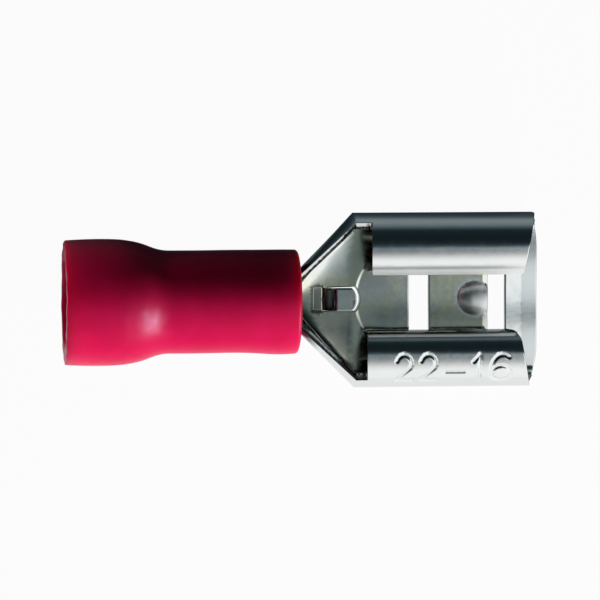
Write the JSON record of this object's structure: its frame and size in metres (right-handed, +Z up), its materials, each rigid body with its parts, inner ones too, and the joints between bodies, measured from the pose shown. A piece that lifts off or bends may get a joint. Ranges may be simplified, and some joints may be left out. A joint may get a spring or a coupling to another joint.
{
  "type": "female spade terminal",
  "caption": "Red insulated female spade terminal: a crimp barrel in a flared sleeve and a receptacle with curled-in wings that grips a flat tab.",
  "frame": {"origin": "centre of the bounding box, on the surface that the part lies on", "axes": "+X from the wire entry to the tab mouth, level; +Z up; the part leans nose-down by about five degrees because it lies on the sleeve and the floor's front edge"},
  "size_m": [0.0206, 0.0074, 0.0057],
  "materials": {
    "brass": "bright tin plating, with a little tarnish, over brass strip",
    "red_pvc": "glossy, slightly translucent red PVC"
  },
  "bodies": {
    "root": {"terminal": "brass", "insulation_sleeve": "red_pvc"}
  },
  "joints": []
}
